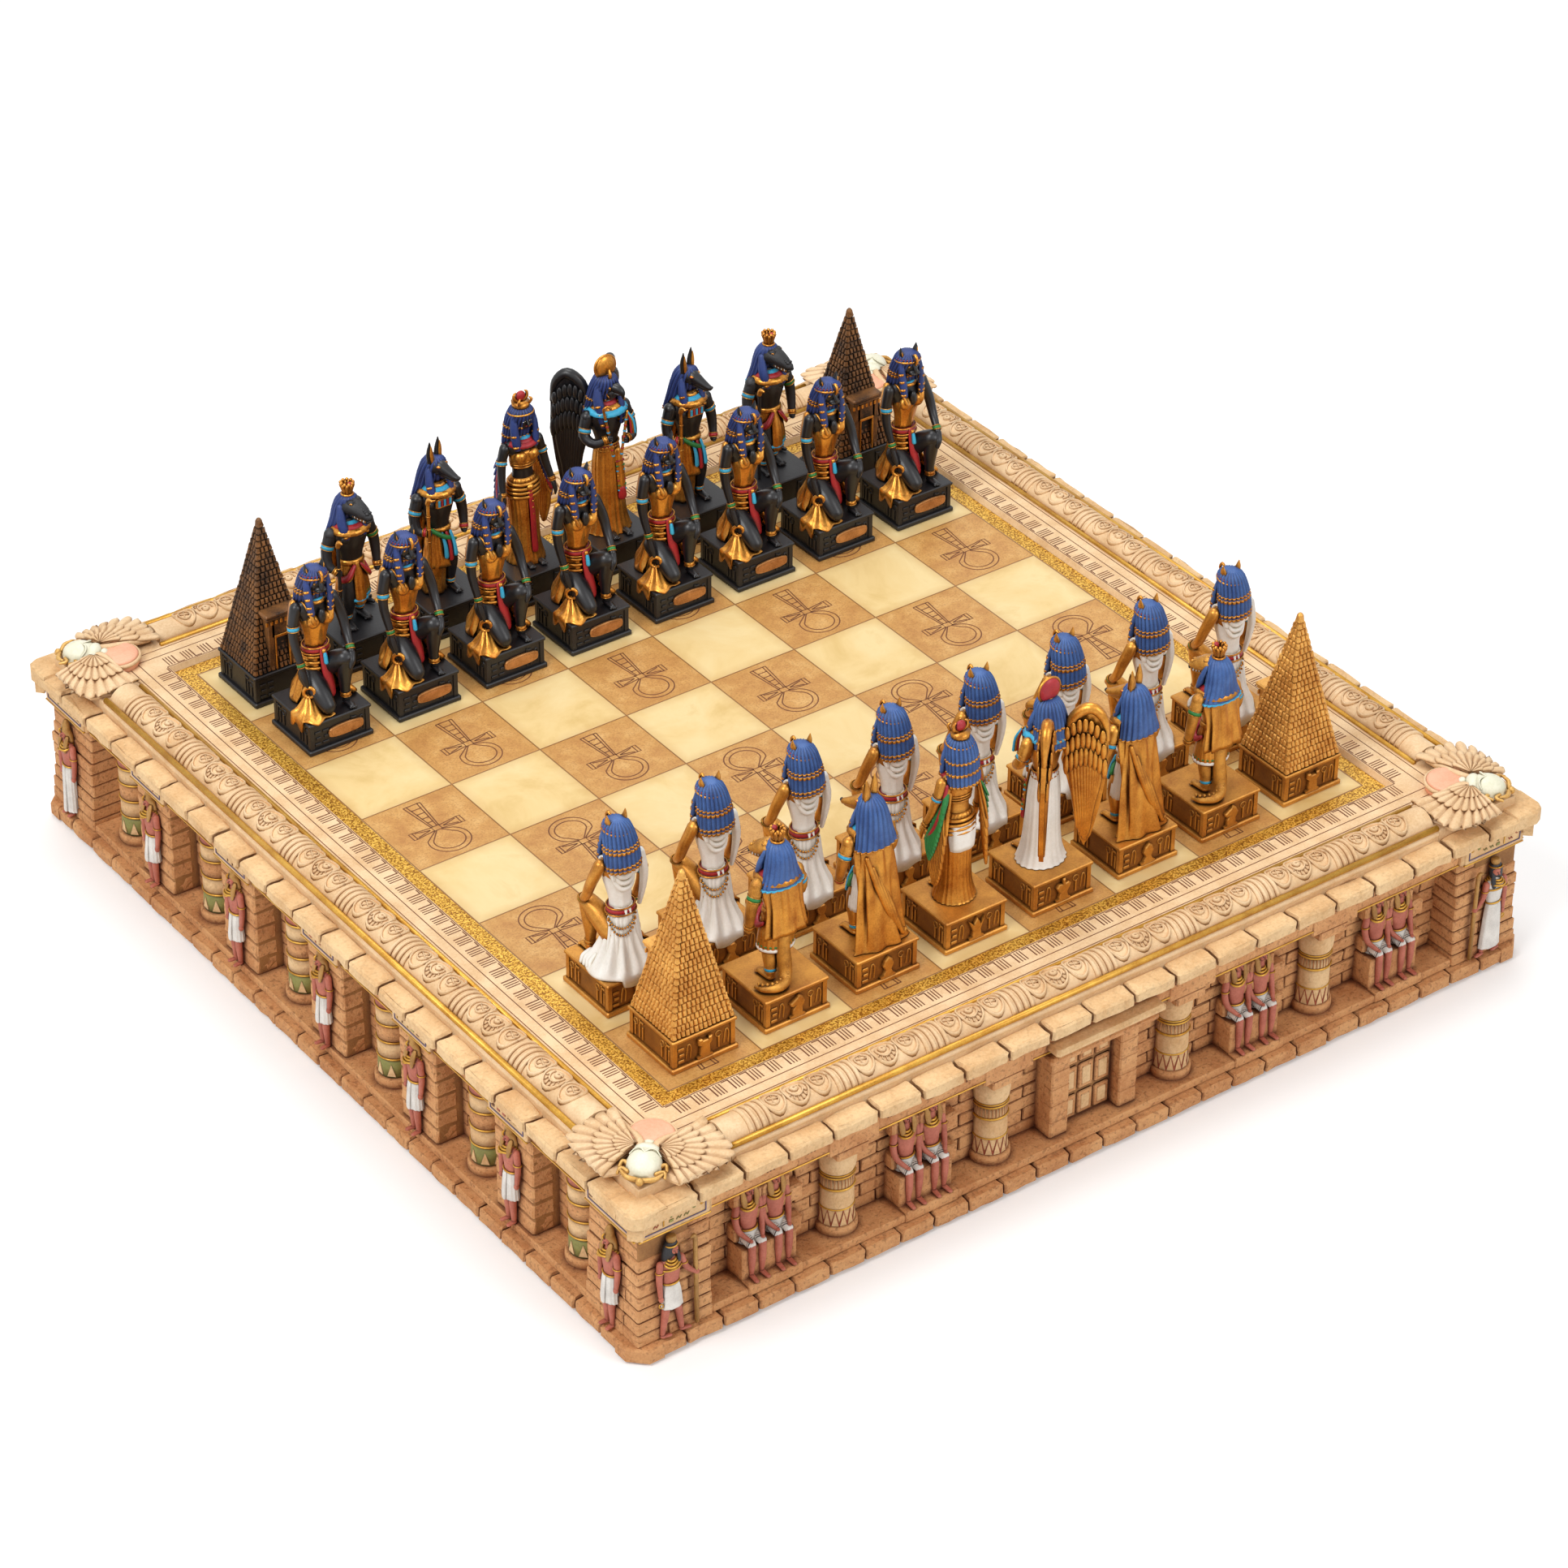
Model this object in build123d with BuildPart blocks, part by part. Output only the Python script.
from build123d import *
import os

os.makedirs("parts", exist_ok=True)

# Playing field, in millimetres
square_side = 42.0
squares_per_side = 8
slab_thickness = 8.0
gilt_border_width = 7.0

# Heights, from the table up
pad_thickness = 1.2
base_course_height = 6.1
floor_step_height = 3.6
niche_height = 45.3
architrave_height = 10.8
cap_height = 5.8
cap_below_field = 2.2
frame_rise = 2.3

# Widths of the mouldings, from the playing field outwards
slab_clearance = 0.2
inner_wall_width = 1.2
key_band_width = 8.9
plain_band_width = 6.4
fillet_width = 2.2
fillet_rise = 1.0
torus_width = 14.3
torus_rise = 4.4
outer_fillet_width = 2.6
outer_fillet_rise = 2.4
cap_depth = 9.2

# Setbacks of the sides behind the edge of the cap
architrave_setback = 7.5
plate_projection = 2.0
pier_setback = 1.7
pier_batter = 2.4
base_setback = 1.5
step_projection = 1.5
niche_depth = 12.9
wall_thickness = 9.6
corner_pier_width = 39.0

# Base course and bottom
base_course_depth = 24.0
base_corner_cut = 8.0
base_arris = 1.4
panel_thickness = 3.0
panel_rebate_width = 6.0
panel_clearance = 0.3
pad_diameter = 18.0
screw_diameter = 3.0
screw_head_diameter = 6.0
screw_head_height = 1.6
screw_length = 5.0
screw_clearance = 0.3
screw_slot_width = 0.9

# Cap stones
cap_stone_pitch = 20.05
cap_joint_width = 1.1
cap_joint_depth = 2.0
cap_arris = 1.5
cap_corner_cut = 5.0

# Ledge that carries the playing slab
ledge_width = 9.0
ledge_thickness = 3.0

# Columns, portal and side piers
column_diameter = 14.0
column_foot_diameter = 16.6
column_foot_height = 4.0
column_front_gap = 2.7
abacus_width = 23.5
abacus_drop = 2.1
abacus_projection = 0.6
cushion_width = 14.5
cushion_height = 4.4
cushion_depth = 10.6
bay_elements = 4
bay_margin_share = 0.44
first_bay_share = 0.65
portal_half_width = 21.0
portal_pier_width = 8.5
portal_pier_height = 40.1
portal_depth = 10.4
portal_lintel_overhang = 5.5
portal_lintel_height = 3.2
lower_lintel_projection = 5.6
upper_lintel_projection = 9.6
door_thickness = 5.2
side_pier_width = 25.0
side_pier_steps = 3
plate_side_overhang = 0.5

# Relief figures on the sides
throne_width = 24.6
throne_depth = 14.9
throne_leg_room = 4.3
throne_seat_height = 14.5
throne_back_depth = 3.0
throne_plinth_height = 1.2
seated_pair_spacing = 12.0
relief_drawn_height = 45.3
relief_foot_rise = 0.6
bevel_share = 0.55

# Winged scarab castings on the corners
corner_arm_reach = 50.0
wing_rise = 4.0
wing_top_share = 0.8
sun_disc_diameter = 14.8
sun_disc_rise = 5.4
scarab_length = 25.0
scarab_width = 13.5
scarab_rise = 9.0
sun_disc_inset = 29.0
scarab_inset = 16.5

# Chess men
man_base_side = 30.0
man_base_height = 14.5
man_foot_height = 2.2
man_rim_height = 1.6
man_die_inset = 1.0
man_rim_inset = 0.4
king_height = 97.0
queen_height = 94.0
bishop_height = 86.0
knight_height = 81.0
rook_height = 77.0
pawn_height = 80.0
pyramid_courses = 24
pyramid_foot_width = 27.5
pyramid_top_width = 2.4
porch_width = 13.0
porch_height = 24.0
porch_door_width = 5.4
porch_door_height = 15.0
porch_front_inset = 1.5
porch_roof_height = 3.0
porch_roof_overhang = 1.2
king_drawn_height = 82.5
queen_drawn_height = 79.5
bishop_drawn_height = 71.5
knight_drawn_height = 66.5
pawn_drawn_height = 65.5

# Plan sizes worked out from the widths above, as distances from the centre
field_half = square_side * squares_per_side / 2
slab_half = field_half + gilt_border_width
rail_inner = slab_half + slab_clearance
key_inner = rail_inner + inner_wall_width
key_outer = key_inner + key_band_width
band_outer = key_outer + plain_band_width
torus_inner = band_outer + fillet_width
torus_outer = torus_inner + torus_width
frame_outer = torus_outer + outer_fillet_width
cap_half = frame_outer + cap_depth
architrave_half = cap_half - architrave_setback
plate_half = architrave_half + plate_projection
pier_half_top = plate_half - pier_setback
pier_half_bottom = pier_half_top + pier_batter
step_half = architrave_half + step_projection
niche_back = architrave_half - niche_depth
wall_inner = niche_back - wall_thickness
base_half = cap_half - base_setback
base_inner = base_half - base_course_depth
corner_inner = cap_half - corner_pier_width
panel_half = base_inner + panel_rebate_width
corner_arm_start = cap_half - corner_arm_reach
bay_pitch = (corner_inner - portal_half_width) / (bay_elements + bay_margin_share)
side_pier_pitch = (corner_inner + pier_half_top) / 2 / side_pier_steps

# Levels worked out from the heights above
base_bottom = pad_thickness
base_top = base_bottom + base_course_height
niche_floor = base_top + floor_step_height
architrave_bottom = niche_floor + niche_height
cap_bottom = architrave_bottom + architrave_height
cap_top = cap_bottom + cap_height
field_top = cap_top + cap_below_field
frame_top = field_top + frame_rise
reach = 2 * cap_half

# Section plane of the front mouldings: distance from the centre across, height up
front_section = Plane(origin=(0, 0, 0), x_dir=(0, -1, 0), z_dir=(-1, 0, 0))


def keep_front_quarter(height):
    """Mitres a front rail along both diagonals of the board."""
    with BuildSketch(Plane.XY.offset(-height)) as quarter:
        with BuildLine():
            Polyline((0, 0), (-reach, -reach), (reach, -reach), close=True)
        make_face()
    extrude(quarter.sketch, amount=3 * height, mode=Mode.INTERSECT)


def cut_corners(half, cut, height):
    """Cuts both ends of a front rail at 45 degrees, beyond the corner cut."""
    for side in (-1, 1):
        with BuildSketch(Plane.XY.offset(-height)) as tip:
            with BuildLine():
                Polyline(
                    (side * (half - 2 * cut), -half - cut),
                    (side * (half + cut), -half + 2 * cut),
                    (side * (half + cut), -half - cut),
                    close=True,
                )
            make_face()
        extrude(tip.sketch, amount=3 * height, mode=Mode.SUBTRACT)


def save(piece, label):
    """Labels a finished piece and writes its STEP file."""
    piece.label = label
    export_step(piece, f"parts/{label}.step", write_pcurves=False)


def turned(piece, angle):
    """The same piece turned about the middle of the board."""
    return piece.moved(Location((0, 0, 0), (0, 0, angle)))


def save_turned(piece, name, sides):
    """Saves copies of a front piece for the sides given with their angles."""
    for side, angle in sides:
        save(turned(piece, angle), f"{name}_{side}")


def block(width, depth, height, x, y, z, mode=Mode.ADD):
    """Box standing on level z, centred on x and y."""
    with Locations((x, y, z)):
        Box(width, depth, height, align=(Align.CENTER, Align.CENTER, Align.MIN), mode=mode)


def front_block(half_width, inner, outer, bottom, top, places=(0,)):
    """Boxes on the front side between two distances from the middle of the board."""
    with Locations(*[(x, -(inner + outer) / 2, bottom) for x in places]):
        Box(2 * half_width, outer - inner, top - bottom, align=(Align.CENTER, Align.CENTER, Align.MIN))


def facets(rings):
    """Adds a solid with flat faces between rings of corners."""
    outlines = [rings[0], rings[-1]]
    for low, high in zip(rings, rings[1:]):
        outlines += [[low[i - 1], low[i], high[i], high[i - 1]] for i in range(len(low))]
    add(Solid(Shell([Face(Wire.make_polygon(outline)) for outline in outlines])))


def limb(points, radii, scale=1.0, lift=0.0):
    """Six-sided limb that swells and tapers from point to point."""
    places = [Vector(x * scale, y * scale, z * scale + lift) for x, y, z in points]
    for start, end, r_start, r_end in zip(places, places[1:], radii, radii[1:]):
        across = Plane(origin=start, z_dir=end - start)
        spokes = [across.x_dir.rotate(Axis((0, 0, 0), across.z_dir), 60 * i) for i in range(6)]
        facets([
            [place + spoke * radius * scale for spoke in spokes]
            for place, radius in ((start, r_start), (end, r_end))
        ])


def bulk(sections, scale=1.0, lift=0.0):
    """Eight-sided body through levels: height, half width, half depth, across, deep."""
    rings = []
    for height, half_width, half_depth, across, deep in sections:
        bevel = bevel_share * min(half_width, half_depth)
        wide, thick = half_width - bevel, half_depth - bevel
        rim = [
            (half_width, -thick), (half_width, thick), (wide, half_depth), (-wide, half_depth),
        ]
        rings.append([
            Vector((x + across) * scale, (y + deep) * scale, height * scale + lift)
            for x, y in rim + [(-x, -y) for x, y in rim]
        ])
    facets(rings)


def fin(points, place, angle, thickness, scale=1.0, lift=0.0):
    """Flat upright shape: its points run outwards along the angle, and up."""
    outwards = Vector(1, 0, 0).rotate(Axis.Z, angle)
    upright_plane = Plane(
        origin=(place[0] * scale, place[1] * scale, lift),
        x_dir=outwards, z_dir=outwards.rotate(Axis.Z, -90),
    )
    with BuildSketch(upright_plane) as outline:
        with BuildLine():
            Polyline([(across * scale, height * scale) for across, height in points], close=True)
        make_face()
    extrude(outline.sketch, amount=thickness * scale / 2, both=True)


all_sides = (("front", 0), ("right", 90), ("back", 180), ("left", 270))

# Playing slab with its gilt border
with BuildPart() as playing_slab:
    with BuildSketch(Plane.XY.offset(field_top - slab_thickness)):
        Rectangle(2 * slab_half, 2 * slab_half)
    extrude(amount=slab_thickness)
save(playing_slab.part, "playing_slab")

# Frame rails: ledge for the slab, key band, plain band, fillet, torus and outer fillet
slab_bottom = field_top - slab_thickness
ledge_bottom = slab_bottom - ledge_thickness
lip_outer = wall_inner - panel_clearance
ledge_inner = rail_inner - ledge_width
torus_middle = (torus_inner + torus_outer) / 2
fillet_middle = (band_outer + torus_inner) / 2
outer_fillet_middle = (torus_outer + frame_outer) / 2
outer_fillet_foot = field_top - frame_rise / 2

with BuildPart() as frame_rail:
    with BuildSketch(front_section):
        with BuildLine():
            Polyline(
                (ledge_inner, ledge_bottom),
                (lip_outer, ledge_bottom),
                (lip_outer, cap_bottom),
                (frame_outer, cap_bottom),
                (frame_outer, outer_fillet_foot),
            )
            ThreePointArc(
                (frame_outer, outer_fillet_foot),
                (outer_fillet_middle, outer_fillet_foot + outer_fillet_rise),
                (torus_outer, outer_fillet_foot),
            )
            ThreePointArc(
                (torus_outer, outer_fillet_foot),
                (torus_middle, frame_top + torus_rise),
                (torus_inner, frame_top),
            )
            ThreePointArc(
                (torus_inner, frame_top),
                (fillet_middle, frame_top + fillet_rise),
                (band_outer, frame_top),
            )
            Polyline(
                (band_outer, frame_top),
                (key_inner, frame_top),
                (rail_inner, field_top),
                (rail_inner, slab_bottom),
                (ledge_inner, slab_bottom),
                (ledge_inner, ledge_bottom),
            )
        make_face()
    extrude(amount=reach / 2, both=True)
    keep_front_quarter(reach)
    for side in (-1, 1):
        block(
            reach, frame_outer, reach,
            side * (corner_arm_start + reach / 2), -band_outer - frame_outer / 2, cap_bottom,
            mode=Mode.SUBTRACT,
        )
save_turned(frame_rail.part, "frame_rail", all_sides)

# Cap rails: a course of cap stones round the edge, jointed and worn at the arris
joint_count = int(2 * (cap_half - cap_corner_cut) / cap_stone_pitch)
with BuildPart() as cap_rail:
    front_block(cap_half, frame_outer, cap_half, cap_bottom, cap_top)
    outer_arris = cap_rail.edges().filter_by(Axis.X).group_by(Axis.Y)[0].sort_by(Axis.Z)
    chamfer(outer_arris[-1], cap_arris)
    chamfer(cap_rail.edges().filter_by(Axis.X).group_by(Axis.Y)[0].sort_by(Axis.Z)[0], cap_arris / 3)
    with Locations((0, -cap_half, cap_top)):
        with GridLocations(cap_stone_pitch, 1, joint_count, 1):
            Box(cap_joint_width, 3 * cap_depth, 2 * cap_joint_depth, mode=Mode.SUBTRACT)
            Box(cap_joint_width, 2 * cap_joint_depth, 3 * cap_height, mode=Mode.SUBTRACT)
    keep_front_quarter(reach)
    cut_corners(cap_half, cap_corner_cut, reach)
save_turned(cap_rail.part, "cap_rail", all_sides)

# Base rails: the lowest course, rebated below for the bottom panel, with holes for its screws
panel_bottom = base_bottom + panel_clearance
screw_line = (base_inner + panel_half - panel_clearance) / 2
screw_hole = screw_diameter + screw_clearance
with BuildPart() as base_rail:
    front_block(base_half, base_inner, base_half, base_bottom, base_top)
    chamfer(base_rail.edges().filter_by(Axis.X).group_by(Axis.Y)[0].sort_by(Axis.Z)[-1], base_arris)
    block(
        reach, 2 * (panel_half - base_inner), 2 * (panel_thickness + panel_clearance),
        0, -base_inner, base_bottom - panel_thickness - panel_clearance, mode=Mode.SUBTRACT,
    )
    with Locations((0, -screw_line, panel_bottom)):
        with GridLocations(panel_half, 1, 2, 1):
            Cylinder(screw_hole / 2, 2 * screw_length, mode=Mode.SUBTRACT)
    keep_front_quarter(reach)
    cut_corners(base_half, base_corner_cut, reach)
save_turned(base_rail.part, "base_rail", all_sides)

# Bottom panel, counterbored for its screws
screw_spots = [
    (x * panel_half / 2, y * screw_line, panel_bottom) for x in (-1, 1) for y in (-1, 1)
] + [
    (x * screw_line, y * panel_half / 2, panel_bottom) for x in (-1, 1) for y in (-1, 1)
]
with BuildPart() as bottom_panel:
    panel_side = 2 * (panel_half - panel_clearance)
    block(panel_side, panel_side, panel_thickness, 0, 0, panel_bottom)
    with Locations(*screw_spots):
        Cylinder(screw_hole / 2, 3 * panel_thickness, mode=Mode.SUBTRACT)
        Cylinder(screw_head_diameter / 2 + screw_clearance, 2 * screw_head_height, mode=Mode.SUBTRACT)
save(bottom_panel.part, "bottom_panel")

with BuildPart() as panel_screws:
    upright = (Align.CENTER, Align.CENTER, Align.MIN)
    with Locations(*screw_spots):
        Cylinder(screw_head_diameter / 2, screw_head_height, align=upright)
        Cylinder(screw_diameter / 2, screw_length - panel_clearance, align=upright)
        Box(screw_slot_width, screw_head_diameter, screw_head_height, mode=Mode.SUBTRACT)
save(panel_screws.part, "panel_screws")

# Felt pads under the four mitres of the base course
pad_place = base_half - base_corner_cut - pad_diameter / 2
with BuildPart() as felt_pads:
    with GridLocations(2 * pad_place, 2 * pad_place, 2, 2):
        Cylinder(pad_diameter / 2, pad_thickness, align=upright)
save(felt_pads.part, "felt_pads")

# Pharaoh seated on a throne, in relief, from the back of the niche forwards
relief_scale = niche_height / relief_drawn_height
with BuildPart() as seated_figure:
    bulk(
        (
            (13.5, 4.6, 3.2, 0, -5.0), (21, 3.8, 2.6, 0, -5.0),
            (28, 5.2, 3.0, 0, -4.6), (32, 4.4, 2.2, 0, -4.6),
        ),
        relief_scale,
    )
    bulk(
        (
            (29.5, 4.4, 2.6, 0, -4.6), (35, 3.6, 3.2, 0, -4.8),
            (40, 2.8, 2.8, 0, -4.4), (43.5, 1.4, 1.4, 0, -4.2),
        ),
        relief_scale,
    )
    for side in (-1, 1):
        limb(
            (
                (side * 2.3, -4.5, 15.6), (side * 2.5, -10.8, 15.2),
                (side * 2.4, -11.2, 1.0), (side * 2.5, -14.0, 0.7),
            ),
            (2.4, 2.2, 1.5, 1.1), relief_scale,
        )
        limb(
            ((side * 5.2, -4.6, 30.5), (side * 5.5, -5.8, 21.5), (side * 3.2, -10.5, 17.4)),
            (1.7, 1.4, 1.1), relief_scale,
        )

# Pharaoh standing against a pier, in relief, from the face of the pier forwards
with BuildPart() as standing_figure:
    for side in (-1, 1):
        limb(
            ((side * 1.9, -1.4, 22), (side * 1.8, -1.6, 1.2), (side * 1.9, -3.6, 0.8)),
            (2.2, 1.5, 1.1), relief_scale,
        )
        limb(
            ((side * 5.0, -1.2, 36.5), (side * 5.8, -1.4, 28), (side * 4.9, -1.8, 20)),
            (1.6, 1.3, 1.0), relief_scale,
        )
    bulk(
        (
            (17, 4.2, 2.4, 0, -1.0), (26, 3.4, 2.4, 0, -1.0),
            (34, 4.8, 2.6, 0, -1.0), (38, 3.2, 2.0, 0, -1.0),
        ),
        relief_scale,
    )
    bulk(
        (
            (35, 3.0, 2.0, 0, -1.0), (40, 2.8, 2.8, 0, -1.4),
            (43, 2.4, 2.4, 0, -1.2), (47, 1.0, 1.0, 0, -1.0),
        ),
        relief_scale,
    )

# Walker with a staff, in relief, striding along the front
with BuildPart() as walking_figure:
    limb(((-0.5, -1.2, 23), (-4.0, -1.6, 1.2), (-2.0, -2.8, 0.9)), (2.4, 1.4, 1.1), relief_scale)
    limb(((0.8, -1.4, 23), (4.2, -1.8, 1.2), (6.8, -2.6, 0.9)), (2.4, 1.4, 1.1), relief_scale)
    bulk(
        (
            (18, 4.2, 2.6, 0.5, -1.0), (26, 3.2, 2.4, 0, -1.0),
            (34, 4.8, 2.6, 0, -1.0), (38, 3.0, 2.0, 0, -1.0),
        ),
        relief_scale,
    )
    bulk(((34, 3.0, 2.2, -0.6, -1.2), (40, 3.2, 2.8, 0, -1.4), (47, 1.8, 1.6, 0.4, -1.0)), relief_scale)
    limb(((-4.8, -1.2, 36), (-5.6, -1.6, 28), (-5.2, -2.0, 19)), (1.6, 1.3, 1.0), relief_scale)
    limb(((4.6, -1.4, 36), (6.6, -2.0, 29), (10.5, -2.2, 24)), (1.6, 1.3, 1.0), relief_scale)
    limb(((10.5, -1.2, 0.6), (10.5, -1.2, 43)), (1.0, 1.0), relief_scale)

# Places along the front: columns and seated pairs by turns, from the portal out
bay_places = [
    portal_half_width + (i + first_bay_share) * bay_pitch for i in range(bay_elements)
]
column_places = [side * place for place in bay_places[0::2] for side in (-1, 1)]
throne_places = [side * place for place in bay_places[1::2] for side in (-1, 1)]
column_y = -(niche_back + column_front_gap)
cushion_bottom = architrave_bottom - abacus_drop - cushion_height
throne_front = niche_back + throne_depth
plinth_top = niche_floor + throne_plinth_height
portal_front = niche_back + portal_depth
lintel_bottom = niche_floor + portal_pier_height
portal_top = lintel_bottom + 3 * portal_lintel_height
lintel_half = portal_half_width + portal_lintel_overhang
jamb_middle = portal_half_width - portal_pier_width / 2

with BuildPart() as wall_front:
    front_block(corner_inner, wall_inner, niche_back, base_top, cap_bottom)
    front_block(corner_inner, niche_back, step_half, base_top, niche_floor)
    front_block(corner_inner, niche_back, architrave_half, architrave_bottom, cap_bottom)
    front_block(
        abacus_width / 2, niche_back, architrave_half + abacus_projection,
        architrave_bottom - abacus_drop, cap_bottom, column_places,
    )
    with Locations(*[(x, column_y, niche_floor) for x in column_places]):
        Cylinder(column_foot_diameter / 2, column_foot_height, align=upright)
        Cylinder(column_diameter / 2, cushion_bottom - niche_floor, align=upright)
    front_block(
        cushion_width / 2, niche_back, cushion_depth - column_y,
        cushion_bottom, cushion_bottom + cushion_height, column_places,
    )
    half = throne_width / 2
    front_block(half, niche_back, throne_front, base_top, plinth_top, throne_places)
    front_block(
        half, niche_back, throne_front - throne_leg_room,
        niche_floor, niche_floor + throne_seat_height, throne_places,
    )
    front_block(
        half, niche_back, niche_back + throne_back_depth,
        niche_floor, architrave_bottom, throne_places,
    )
    front_block(
        portal_pier_width / 2, niche_back, portal_front,
        niche_floor, lintel_bottom, (-jamb_middle, jamb_middle),
    )
    front_block(portal_half_width, niche_back, niche_back + door_thickness, niche_floor, lintel_bottom)
    front_block(
        lintel_half, niche_back, portal_front + lower_lintel_projection,
        lintel_bottom, lintel_bottom + portal_lintel_height,
    )
    front_block(
        portal_half_width, niche_back, portal_front + lower_lintel_projection / 2,
        lintel_bottom, portal_top,
    )
    front_block(
        lintel_half, niche_back, portal_front + upper_lintel_projection,
        portal_top - portal_lintel_height, portal_top,
    )
    seats = [
        (x + side * seated_pair_spacing / 2, -niche_back, plinth_top)
        for x in throne_places for side in (-1, 1)
    ]
    with Locations(*seats):
        add(seated_figure.part)
save(wall_front.part, "wall_front")
save(turned(wall_front.part, 180), "wall_back")

# Side walls: piers with standing figures, and a column in each niche between them
pier_places = [step * side_pier_pitch for step in range(1 - side_pier_steps, side_pier_steps)]
niche_places = [(step + 0.5) * side_pier_pitch for step in range(-side_pier_steps, side_pier_steps)]
with BuildPart() as wall_side:
    front_block(corner_inner, wall_inner, niche_back, base_top, cap_bottom)
    front_block(corner_inner, niche_back, step_half, base_top, niche_floor)
    front_block(corner_inner, niche_back, architrave_half, architrave_bottom, cap_bottom)
    front_block(
        side_pier_width / 2, niche_back, pier_half_top, niche_floor, architrave_bottom, pier_places,
    )
    front_block(
        side_pier_width / 2 + plate_side_overhang, niche_back, plate_half,
        architrave_bottom, cap_bottom, pier_places,
    )
    with Locations(*[(x, column_y, niche_floor) for x in niche_places]):
        Cylinder(column_foot_diameter / 2, column_foot_height, align=upright)
        Cylinder(column_diameter / 2, architrave_bottom - niche_floor, align=upright)
    with Locations(*[(x, -pier_half_top, niche_floor) for x in pier_places]):
        add(standing_figure.part)
save(turned(wall_side.part, 90), "wall_right")
save(turned(wall_side.part, 270), "wall_left")

# Corner piers: battered outside, with a cartouche block on top and a figure on each face
pier_middle = (corner_inner + pier_half_top) / 2
with BuildPart() as corner_pier:
    for level, outer in ((base_top, pier_half_bottom), (architrave_bottom, pier_half_top)):
        with BuildSketch(Plane.XY.offset(level)):
            with Locations((-corner_inner, -corner_inner)):
                Rectangle(outer - corner_inner, outer - corner_inner, align=(Align.MAX, Align.MAX))
    loft(ruled=True)
    with Locations((-corner_inner, -corner_inner, architrave_bottom)):
        plate_side = plate_half - corner_inner
        Box(plate_side, plate_side, architrave_height, align=(Align.MAX, Align.MAX, Align.MIN))
    notch = 2 * (wall_inner - corner_inner)
    block(notch, notch, reach, -corner_inner, -corner_inner, 0, mode=Mode.SUBTRACT)
    pier_face = pier_half_top + pier_batter / 2
    figure_foot = base_top + relief_foot_rise
    with Locations(Location((-pier_middle - pier_batter, -pier_face, figure_foot))):
        add(walking_figure.part)
    with Locations(Location((-pier_face, -pier_middle, figure_foot), (0, 0, -90))):
        add(standing_figure.part)
save(corner_pier.part, "corner_pier_front_left")
save(turned(corner_pier.part, 180), "corner_pier_back_right")
save(mirror(corner_pier.part, about=Plane.YZ), "corner_pier_front_right")
save(mirror(corner_pier.part, about=Plane.XZ), "corner_pier_back_left")

# Winged scarab castings over the corners: block, two wings, sun disc and beetle
wing_outline = (
    (36, 20), (49, 23), (49.5, 14), (45, 5.5), (35, 3), (21.4, 3), (14, 12), (14, 22),
)
with BuildPart() as corner_scarab:
    arm_length = frame_outer - corner_arm_start
    arm_width = frame_outer - band_outer
    arm_height = frame_top - cap_bottom
    with Locations((-frame_outer, -frame_outer, cap_bottom)):
        Box(arm_length, arm_width, arm_height, align=Align.MIN)
        Box(arm_width, arm_length, arm_height, align=Align.MIN)
    for swapped in (False, True):
        corners = [
            (inset - cap_half, along - cap_half) if swapped else (along - cap_half, inset - cap_half)
            for along, inset in wing_outline
        ]
        middle = [sum(corner[i] for corner in corners) / len(corners) for i in (0, 1)]
        facets([
            [
                Vector(*[m + share * (c - m) for m, c in zip(middle, corner)], level)
                for corner in corners
            ]
            for level, share in ((cap_top, 1), (frame_top, 1), (frame_top + wing_rise, wing_top_share))
        ])
    with Locations((sun_disc_inset - cap_half, sun_disc_inset - cap_half, frame_top)):
        Cylinder(sun_disc_diameter / 2, sun_disc_rise, align=upright)
    scarab_middle = Plane(
        origin=(
            scarab_inset - cap_half, scarab_inset - cap_half,
            frame_top + scarab_rise - scarab_width / 2,
        ),
        x_dir=(1, 1, 0), z_dir=(1, -1, 0),
    )
    with BuildSketch(scarab_middle):
        Ellipse(scarab_length / 2, scarab_width / 2)
        with Locations((0, -scarab_width / 2)):
            Rectangle(2 * scarab_length, scarab_width, mode=Mode.SUBTRACT)
    revolve(axis=Axis(scarab_middle.origin, scarab_middle.x_dir))
for side, angle in (("front_left", 0), ("front_right", 90), ("back_right", 180), ("back_left", 270)):
    save(turned(corner_scarab.part, angle), f"corner_scarab_{side}")


def man_base():
    """Square base of a chess man: foot, die and rim."""
    block(man_base_side, man_base_side, man_foot_height, 0, 0, 0)
    die_side = man_base_side - 2 * man_die_inset
    block(die_side, die_side, man_base_height, 0, 0, 0)
    rim_side = man_base_side - 2 * man_rim_inset
    block(rim_side, rim_side, man_rim_height, 0, 0, man_base_height - man_rim_height)


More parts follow.
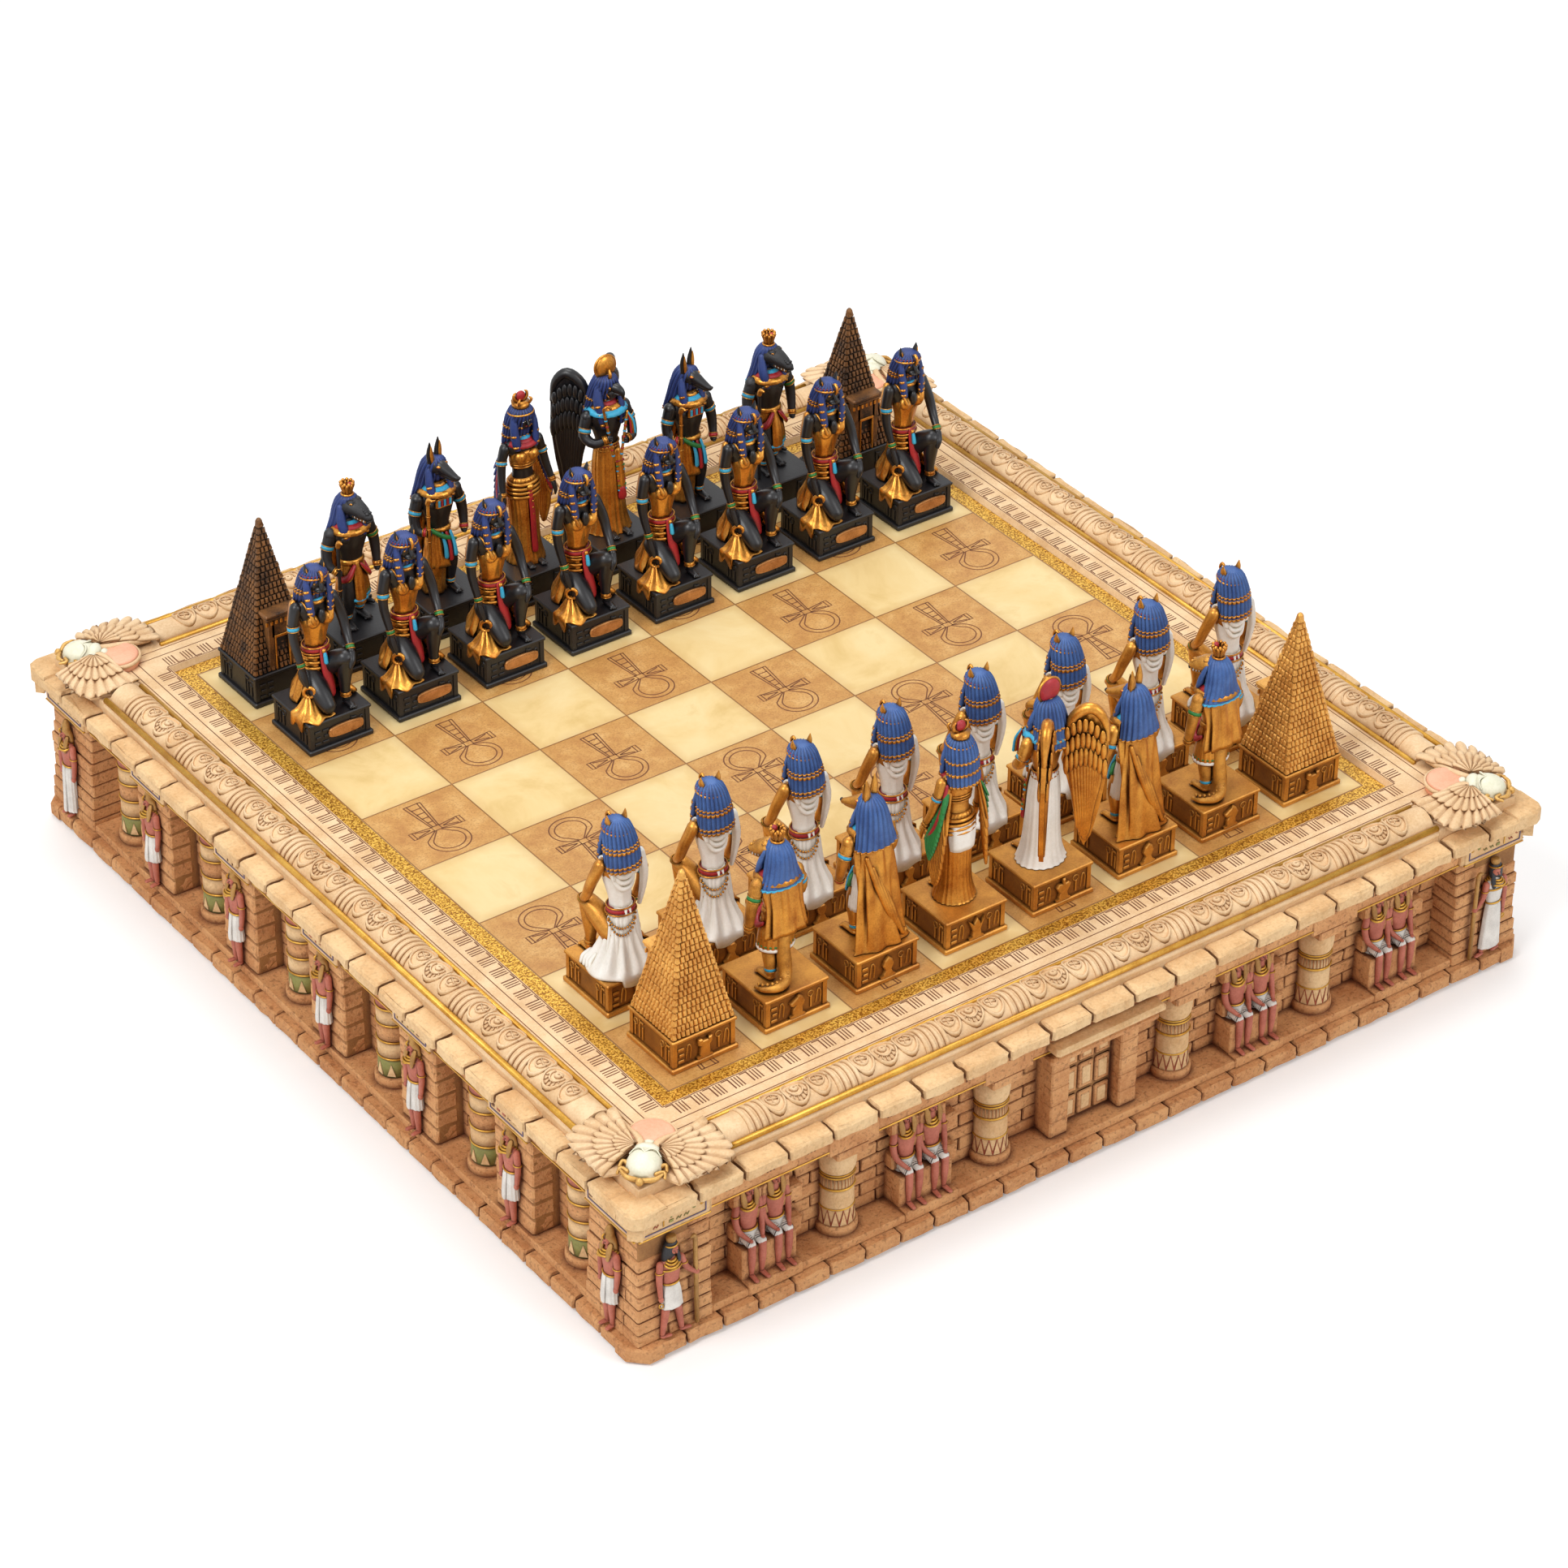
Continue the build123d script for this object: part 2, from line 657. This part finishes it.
# Pawn: a cat-headed goddess, half kneeling, one knee up
with BuildPart() as pawn:
    man_base()
    fit = ((pawn_height - man_base_height) / pawn_drawn_height, man_base_height)
    bulk(
        ((-0.5, 6.5, 6.5, 0, 3), (9, 6.5, 6.0, 0, 3), (17, 6.0, 5.0, 0, 3.2), (28, 4.4, 3.4, 0, 2.5)),
        *fit,
    )
    bulk(
        ((26, 4.5, 3.4, 0, 2.5), (38, 6.6, 4.6, 0, 1), (46, 8.8, 4.0, 0, 1.5), (49, 4.0, 3.0, 0, 1)),
        *fit,
    )
    bulk(
        ((36, 6.6, 4.4, 0, 3), (47, 7.0, 5.4, 0, 1.5), (56, 7.8, 7.4, 0, 0.5), (63, 4.2, 4.4, 0, 1)),
        *fit,
    )
    limb(((0, -3, 55), (0, -8.6, 53)), (4.6, 2.6), *fit)
    limb(((-4, 2, 14), (-5, -9.5, 4.8), (-5, 6, 2.6)), (4.2, 3.6, 2.8), *fit)
    limb(((4, 1, 15), (6.5, -9, 22), (7, -8, 2.4), (7, -12.5, 1.4)), (4.4, 3.6, 2.6, 1.8), *fit)
    limb(((-9, 2, 43), (-11.8, 3, 31), (-11.6, -3, 16)), (2.7, 2.3, 1.8), *fit)
    limb(((9, 2, 43), (11.8, -1, 32), (8.4, -9.5, 25)), (2.7, 2.3, 1.8), *fit)
    for side in (-1, 1):
        fin(((1.2, 58), (6.2, 58), (5.4, 65.5)), (0, 2), 90 - side * 90, 2.2, *fit)

# Rook: a stepped pyramid with a temple porch
with BuildPart() as rook:
    man_base()
    course_height = (rook_height - man_base_height) / pyramid_courses
    course_inset = (pyramid_foot_width - pyramid_top_width) / 2 / (pyramid_courses - 1)
    steps = [(pyramid_foot_width / 2, man_base_height)]
    for course in range(1, pyramid_courses + 1):
        course_top = man_base_height + course * course_height
        steps.append((steps[-1][0], course_top))
        if course < pyramid_courses:
            steps.append((steps[-1][0] - course_inset, course_top))
    stepped_outline = steps + [(-across, height) for across, height in reversed(steps)]
    with BuildSketch(Plane.XZ) as stepped_face:
        with BuildLine():
            Polyline(stepped_outline, close=True)
        make_face()
    with BuildPart(mode=Mode.PRIVATE) as pyramid:
        extrude(stepped_face.sketch, amount=pyramid_foot_width, both=True)
        turned_face = stepped_face.sketch.rotate(Axis.Z, 90)
        extrude(turned_face, amount=pyramid_foot_width, both=True, mode=Mode.INTERSECT)
    add(pyramid.part)
    porch_front = man_base_side / 2 - porch_front_inset
    block(porch_width, porch_front, porch_height, 0, -porch_front / 2, man_base_height)
    block(
        porch_width + 2 * porch_roof_overhang, porch_front + porch_roof_overhang, porch_roof_height,
        0, -(porch_front + porch_roof_overhang) / 2, man_base_height + porch_height,
    )
    block(
        porch_door_width, 2 * porch_roof_height, porch_door_height,
        0, -porch_front, man_base_height, mode=Mode.SUBTRACT,
    )

# Knight: a crocodile-headed god with a staff and a scaly tail
with BuildPart() as knight:
    man_base()
    fit = ((knight_height - man_base_height) / knight_drawn_height, man_base_height)
    for side in (-1, 1):
        limb(
            ((side * 3.2, side * 1.5, 20), (side * 4.2, side * 2.5, 9), (side * 4.6, side * 3.0 + 1, 1.4),
             (side * 4.8, side * 3.0 - 5, 1.2)),
            (3.6, 2.8, 2.2, 1.8), *fit,
        )
    bulk(
        ((11, 8.4, 5.8, 0, 0), (22, 6.6, 5.0, 0, 0.5), (30, 5.2, 4.0, 0, 0.5), (32, 5.0, 4.0, 0, 0.5)),
        *fit,
    )
    bulk(
        ((29, 5.2, 4.0, 0, 0.5), (38, 7.2, 4.8, 0, 0.5), (44, 9.0, 4.2, 0, 1), (48, 4.2, 3.4, 0, 1)),
        *fit,
    )
    bulk(((36, 6.6, 4.6, 0, 2), (46, 7.0, 5.6, 0, 1.5), (55, 6.2, 6.0, 0, 1), (60, 3.6, 4.0, 0, 1)), *fit)
    limb(((0, 0, 55.5), (0, -7, 53.5), (0, -13.5, 47.5)), (4.6, 3.2, 1.7), *fit)
    fin(((-5.2, 66.5), (5.2, 66.5), (3.2, 58), (-3.2, 58)), (0, 1), 0, 3.0, *fit)
    limb(((-9, 1, 43.5), (-12, 0, 34), (-11.4, -5.5, 30)), (2.6, 2.2, 1.8), *fit)
    limb(((9, 1, 43.5), (11.8, 1, 33), (11.6, -1.5, 23)), (2.6, 2.2, 1.7), *fit)
    limb(((-11.4, -5.8, -0.4), (-11.4, -5.8, 44)), (1.1, 1.1), *fit)
    limb(((0, 3, 17), (2.5, 9.5, 7), (7, 11.6, 2.2), (11.8, 7.5, 1.4)), (3.4, 2.8, 2.0, 1.0), *fit)

# Bishop: a jackal-headed god with a staff and a long cloak
with BuildPart() as bishop:
    man_base()
    fit = ((bishop_height - man_base_height) / bishop_drawn_height, man_base_height)
    for side in (-1, 1):
        limb(
            (
                (side * 3.0, -side * 1.5, 20), (side * 3.6, -side * 2.5, 10),
                (side * 3.8, 1 - side * 3.5, 1.4,
            ),
             (side * 4.0, -5 - side * 3.5, 1.2)),
            (3.6, 2.8, 2.2, 1.8), *fit,
        )
    bulk(
        ((13, 7.4, 5.4, 0, 0), (22, 6.2, 4.8, 0, 0.3), (29, 5.0, 3.8, 0, 0.5), (31, 4.8, 3.8, 0, 0.5)),
        *fit,
    )
    bulk(
        ((28, 5.0, 3.8, 0, 0.5), (38, 7.0, 4.6, 0, 0.5), (46, 9.0, 4.2, 0, 1), (50, 4.2, 3.4, 0, 1)),
        *fit,
    )
    bulk(
        ((38, 6.8, 4.6, 0, 2), (48, 7.2, 5.6, 0, 1.5), (58, 6.0, 6.0, 0, 0.8), (64, 3.4, 4.0, 0, 1)),
        *fit,
    )
    limb(((0, -1, 58.5), (0, -10.5, 55.5)), (4.0, 1.8), *fit)
    for side in (-1, 1):
        fin(((1.0, 60), (4.6, 60), (3.9, 71.5)), (0, 1.5), 90 - side * 90, 2.0, *fit)
    limb(((-9, 1, 45), (-11.8, 0, 34), (-10.6, -6.5, 31)), (2.6, 2.2, 1.8), *fit)
    limb(((9, 1, 45), (11.8, 0, 34), (10.4, -6.0, 30)), (2.6, 2.2, 1.8), *fit)
    limb(((-10.6, -7.0, -0.4), (-10.6, -7.0, 52)), (1.1, 1.1), *fit)
    bulk(((-0.4, 11.5, 3.0, 0, 10.4), (22, 9.8, 2.6, 0, 7.5), (46, 7.6, 2.2, 0, 4.2)), *fit)

# Queen: a goddess in a long skirt, with feathered wings hanging from the arms
with BuildPart() as queen:
    man_base()
    fit = ((queen_height - man_base_height) / queen_drawn_height, man_base_height)
    bulk(
        ((-0.4, 7.6, 6.8, 0, -0.5), (18, 6.6, 5.8, 0, 0), (34, 7.0, 5.2, 0, 0.5), (43, 4.6, 3.6, 0, 0.5)),
        *fit,
    )
    bulk(
        ((42, 4.6, 3.6, 0, 0.5), (50, 6.0, 5.0, 0, -0.3), (55, 8.4, 3.8, 0, 0.8), (59, 3.2, 3.0, 0, 0.8)),
        *fit,
    )
    bulk(
        ((45, 6.0, 3.8, 0, 2.5), (56, 6.4, 5.2, 0, 1.4), (66, 6.4, 6.2, 0, 0.6), (72, 4.2, 4.6, 0, 0.8)),
        *fit,
    )
    limb(((0, 0.8, 71), (0, 0.8, 75)), (4.4, 4.6), *fit)
    fin(((-6.0, 74.5), (6.0, 74.5), (6.4, 79.5), (-6.4, 79.5)), (0, 0.8), 0, 3.4, *fit)
    for side in (-1, 1):
        limb(
            ((side * 8.4, 0.8, 54), (side * 11.4, 0.6, 44), (side * 11.8, -4.2, 38)),
            (2.5, 2.1, 1.7), *fit,
        )
        fin(
            ((9.5, 53), (15.8, 40), (16.2, 14), (12.6, 3), (8.2, 18), (8.8, 40)),
            (0, 2.2), 90 - side * 90, 2.6, *fit,
        )

# King: a falcon-headed god with crook and flail, large wings folded behind
with BuildPart() as king:
    man_base()
    fit = ((king_height - man_base_height) / king_drawn_height, man_base_height)
    bulk(
        ((-0.4, 8.6, 7.0, 0, -1), (20, 7.4, 6.0, 0, -0.6), (34, 6.4, 5.2, 0, 0), (42, 5.0, 4.0, 0, 0.2)),
        *fit,
    )
    bulk(
        ((41, 5.0, 4.0, 0, 0.2), (50, 7.4, 5.0, 0, 0), (57, 9.4, 4.4, 0, 0.6), (61, 4.2, 3.4, 0, 0.6)),
        *fit,
    )
    bulk(
        ((47, 7.0, 4.4, 0, 2.2), (58, 7.4, 5.8, 0, 1), (67, 6.6, 6.6, 0, 0.4), (73, 4.0, 4.6, 0, 0.6)),
        *fit,
    )
    limb(((0, -3, 66.5), (0, -8.6, 63.5)), (3.6, 1.4), *fit)
    with Locations(Location((0, fit[0] * 0.6, fit[0] * 77.2 + fit[1]), (90, 0, 0))):
        Cylinder(fit[0] * 5.3, fit[0] * 3.4)
    block(fit[0] * 3, fit[0] * 3, fit[0] * 3, 0, fit[0] * 0.6, fit[0] * 71 + fit[1])
    for side in (-1, 1):
        limb(
            ((side * 9.4, 0.6, 56), (side * 11.8, -0.6, 44), (side * 3.6, -7.2, 47)),
            (2.7, 2.3, 1.8), *fit,
        )
        limb(((side * 3.6, -7.4, 43), (side * 6.8, -6.6, 60)), (1.1, 1.1), *fit)
        fin(
            ((1.5, 50), (8, 66), (13, 74), (18, 66), (19, 40), (17, 14), (13.5, 1), (6, 20)),
            (0, 6.6), 90 - side * 66, 2.8, *fit,
        )

# The men in their opening places: black along the back, gold along the front
back_rank = (
    ("rook_a", rook), ("knight_b", knight), ("bishop_c", bishop), ("queen_d", queen),
    ("king_e", king), ("bishop_f", bishop), ("knight_g", knight), ("rook_h", rook),
)
for file, (name, man) in enumerate(back_rank):
    across = (file - (squares_per_side - 1) / 2) * square_side
    for label, piece, row in ((name, man, 0.5), (f"pawn_{name[-1]}", pawn, 1.5)):
        deep = field_half - row * square_side
        save(piece.part.moved(Location((across, deep, field_top))), f"black_{label}")
        save(piece.part.moved(Location((across, -deep, field_top), (0, 0, 180))), f"gold_{label}")
